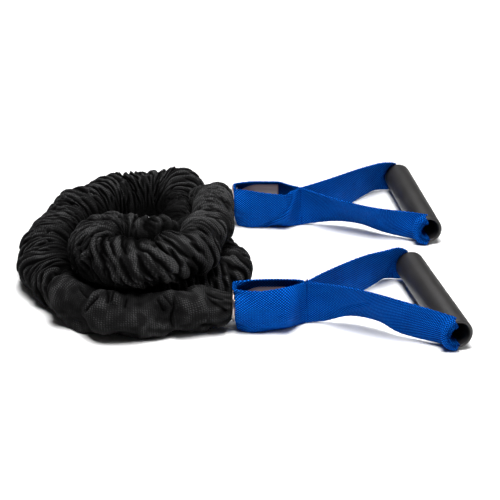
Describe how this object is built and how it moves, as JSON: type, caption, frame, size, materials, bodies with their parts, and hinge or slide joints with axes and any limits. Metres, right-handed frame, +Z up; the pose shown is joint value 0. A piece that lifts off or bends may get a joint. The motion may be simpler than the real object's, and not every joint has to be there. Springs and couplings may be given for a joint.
{
  "type": "resistance bungee cord",
  "caption": "Elastic tube in a black gathered fabric sleeve, coiled up, with a grommeted blue webbing strap and a round turning grip at each end",
  "frame": {"origin": "centre of the footprint of the two handles, on the surface that the coiled cord lies on", "axes": "+Z up, +X out of the coil along both cord ends towards the grips, +Y from the front handle to the rear handle"},
  "size_m": [0.376, 0.338, 0.0724],
  "materials": {
    "sleeve_cloth": "charcoal woven nylon, gathered into tight irregular folds",
    "latex": "grey-brown matte latex",
    "plug_plastic": "dark moulded plastic",
    "tie_nylon": "black nylon binding",
    "grommet_metal": "plated metal with a soft rosy shine",
    "webbing": "royal blue flat-woven polypropylene webbing",
    "thread": "blue sewing thread",
    "grip_plastic": "dark grey smooth matte tube"
  },
  "bodies": {
    "cord": {"sleeve": "sleeve_cloth", "elastic_tube": "latex", "front_end_plug": "plug_plastic", "rear_end_plug": "plug_plastic", "front_sleeve_tie": "tie_nylon", "rear_sleeve_tie": "tie_nylon"},
    "front_loop": {"front_loop_webbing": "webbing", "front_grommet": "grommet_metal", "front_grommet_washer": "grommet_metal", "front_strap_tack": "thread"},
    "front_handle": {"front_handle_webbing": "webbing"},
    "front_grip_body": {"front_grip": "grip_plastic"},
    "rear_loop": {"rear_loop_webbing": "webbing", "rear_grommet": "grommet_metal", "rear_grommet_washer": "grommet_metal", "rear_strap_tack": "thread"},
    "rear_handle": {"rear_handle_webbing": "webbing"},
    "rear_grip_body": {"rear_grip": "grip_plastic"}
  },
  "joints": [
    {"name": "front_swivel", "type": "hinge", "parent": "cord", "child": "front_loop", "pos_m": [-0.09045, -0.12205, 0.0205], "axis": [1, 0, 0], "range_deg": [-90, 90]},
    {"name": "front_strap_flex", "type": "hinge", "parent": "front_loop", "child": "front_handle", "pos_m": [-0.03325, -0.11455, 0.019], "axis": [0, 0, 1], "range_deg": [-60, 10]},
    {"name": "front_grip_spin", "type": "hinge", "parent": "front_handle", "child": "front_grip_body", "pos_m": [0.08415, -0.16325, 0.0148], "axis": [0.2011, -0.9796, 0], "continuous": true},
    {"name": "rear_swivel", "type": "hinge", "parent": "cord", "child": "rear_loop", "pos_m": [-0.09325, 0.08545, 0.0235], "axis": [1, 0, 0], "range_deg": [-90, 90]},
    {"name": "rear_strap_flex", "type": "hinge", "parent": "rear_loop", "child": "rear_handle", "pos_m": [-0.03175, 0.08195, 0.019], "axis": [0, 0, 1], "range_deg": [-10, 60]},
    {"name": "rear_grip_spin", "type": "hinge", "parent": "rear_handle", "child": "rear_grip_body", "pos_m": [0.08165, 0.03615, 0.0148], "axis": [0.1305, -0.9914, 0], "continuous": true}
  ]
}
